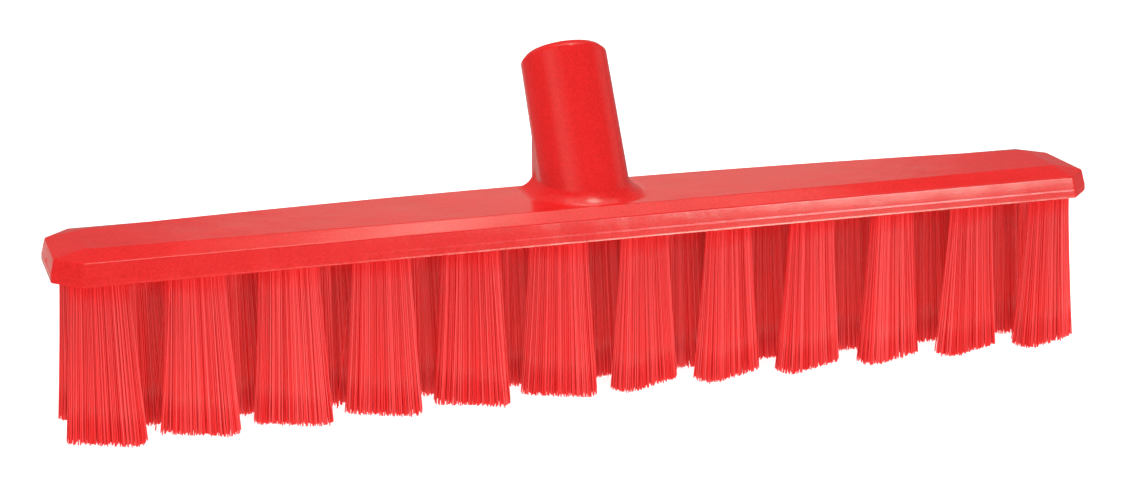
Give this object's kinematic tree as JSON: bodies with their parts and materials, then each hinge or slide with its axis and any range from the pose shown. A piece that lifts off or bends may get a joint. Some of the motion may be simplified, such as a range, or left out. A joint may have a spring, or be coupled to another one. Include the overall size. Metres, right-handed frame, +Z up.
{
  "type": "push broom head",
  "caption": "Moulded push-broom head: long chamfered block with a leaning threaded handle socket and three rows of flared bristle units in a chevron layout.",
  "frame": {"origin": "on the floor, under the middle of the block, where the bristle tips stand", "axes": "+X along the block, +Y to the back, where the socket leans, +Z up"},
  "size_m": [0.41, 0.0713, 0.129],
  "materials": {
    "block_plastic": "smooth moulded polypropylene, slightly glossy, signal red",
    "bristle_filament": "stiff red polyester filament, satin"
  },
  "bodies": {
    "root": {"brush_block": "block_plastic", "front_tuft_01": "bristle_filament", "front_tuft_02": "bristle_filament", "front_tuft_03": "bristle_filament", "front_tuft_04": "bristle_filament", "front_tuft_05": "bristle_filament", "front_tuft_06": "bristle_filament", "front_tuft_07": "bristle_filament", "front_tuft_08": "bristle_filament", "front_tuft_09": "bristle_filament", "front_tuft_10": "bristle_filament", "front_tuft_11": "bristle_filament", "front_tuft_12": "bristle_filament", "middle_tuft_01": "bristle_filament", "middle_tuft_02": "bristle_filament", "middle_tuft_03": "bristle_filament", "middle_tuft_04": "bristle_filament", "middle_tuft_05": "bristle_filament", "middle_tuft_06": "bristle_filament", "middle_tuft_07": "bristle_filament", "middle_tuft_08": "bristle_filament", "middle_tuft_09": "bristle_filament", "middle_tuft_10": "bristle_filament", "middle_tuft_11": "bristle_filament", "back_tuft_01": "bristle_filament", "back_tuft_02": "bristle_filament", "back_tuft_03": "bristle_filament", "back_tuft_04": "bristle_filament", "back_tuft_05": "bristle_filament", "back_tuft_06": "bristle_filament", "back_tuft_07": "bristle_filament", "back_tuft_08": "bristle_filament", "back_tuft_09": "bristle_filament", "back_tuft_10": "bristle_filament", "back_tuft_11": "bristle_filament", "back_tuft_12": "bristle_filament"}
  },
  "joints": []
}
